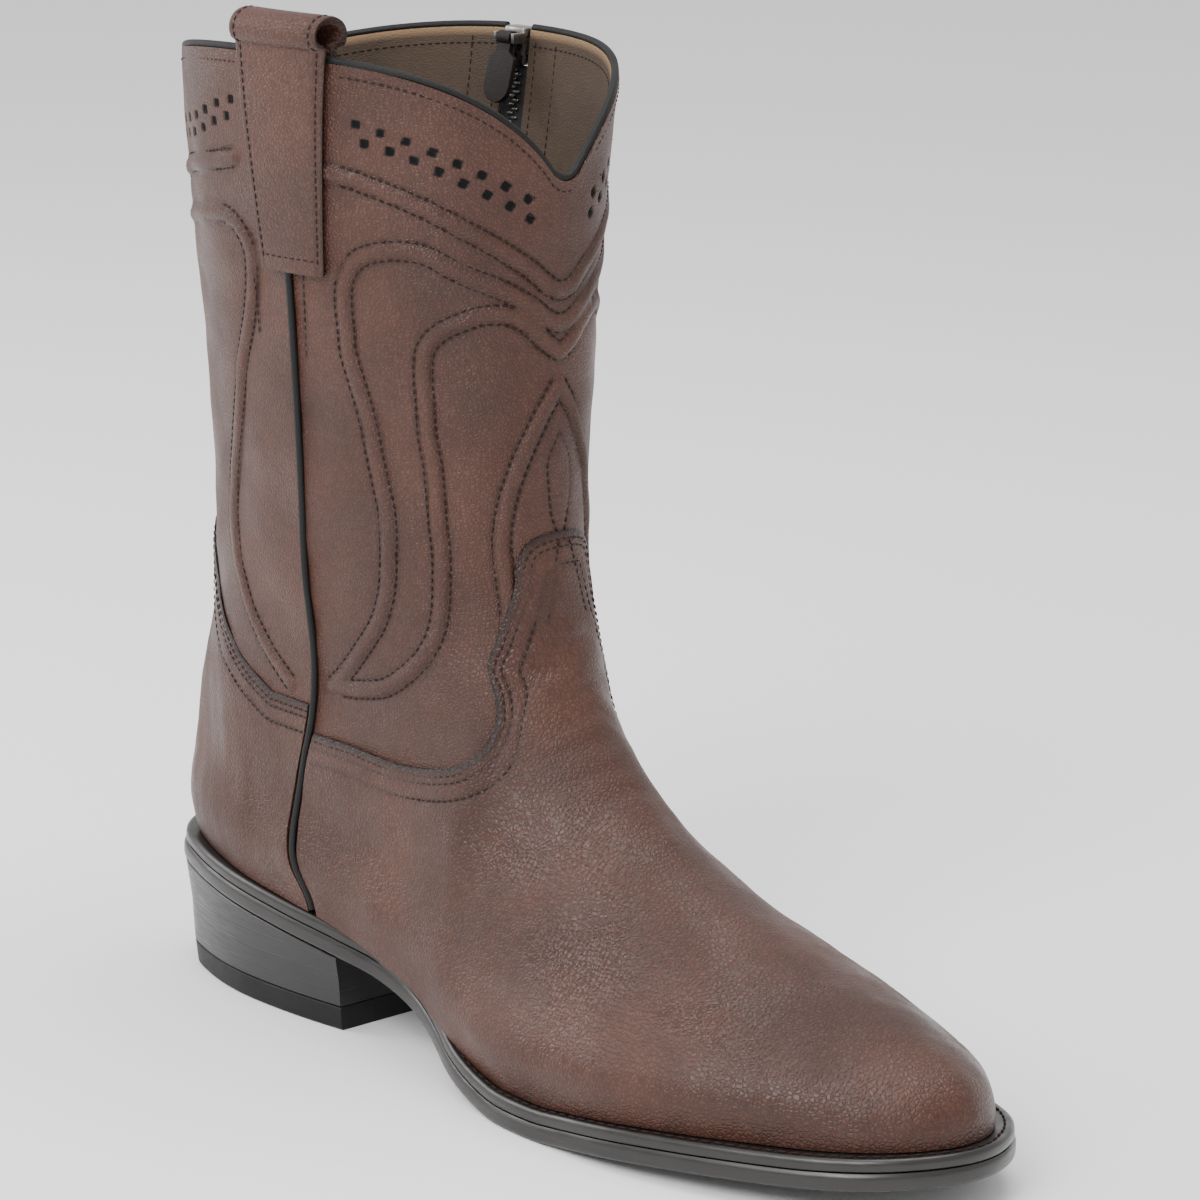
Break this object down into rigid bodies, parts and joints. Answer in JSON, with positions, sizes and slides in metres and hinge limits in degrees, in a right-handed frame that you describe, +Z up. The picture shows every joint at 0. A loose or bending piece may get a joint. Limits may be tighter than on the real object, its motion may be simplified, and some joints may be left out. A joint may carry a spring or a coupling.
{
  "type": "roper boot",
  "caption": "Brown leather roper boot for the right foot: low heel, pull strap, stitched shaft and inner side zip.",
  "frame": {"origin": "middle of the heel's contact face, on the ground", "axes": "+X to the toe, +Y to the inner side with the zip, +Z up"},
  "size_m": [0.304, 0.1148, 0.2923],
  "materials": {
    "brown_leather": "satin",
    "dark_leather": "satin",
    "sole_leather": "satin",
    "lining_leather": "matte",
    "heel_rubber": "matte",
    "black_tape": "matte",
    "dark_nickel": "polished"
  },
  "bodies": {
    "boot": {"upper": "brown_leather", "vamp": "brown_leather", "counter": "brown_leather", "pull_strap": "brown_leather", "collar_piping": "dark_leather", "side_piping": "dark_leather", "inner_piping": "dark_leather", "zip_tape": "black_tape", "zip_slider": "dark_nickel", "insole": "lining_leather", "welt": "sole_leather", "outsole": "sole_leather", "heel_stack": "sole_leather", "heel_cap": "heel_rubber"},
    "pull": {"zip_pull": "dark_leather"}
  },
  "joints": [
    {"name": "pull_hinge", "type": "hinge", "parent": "boot", "child": "pull", "pos_m": [0.0215, 0.04739, 0.2778], "axis": [-1, 0, 0], "range_deg": [-6, 185]}
  ]
}
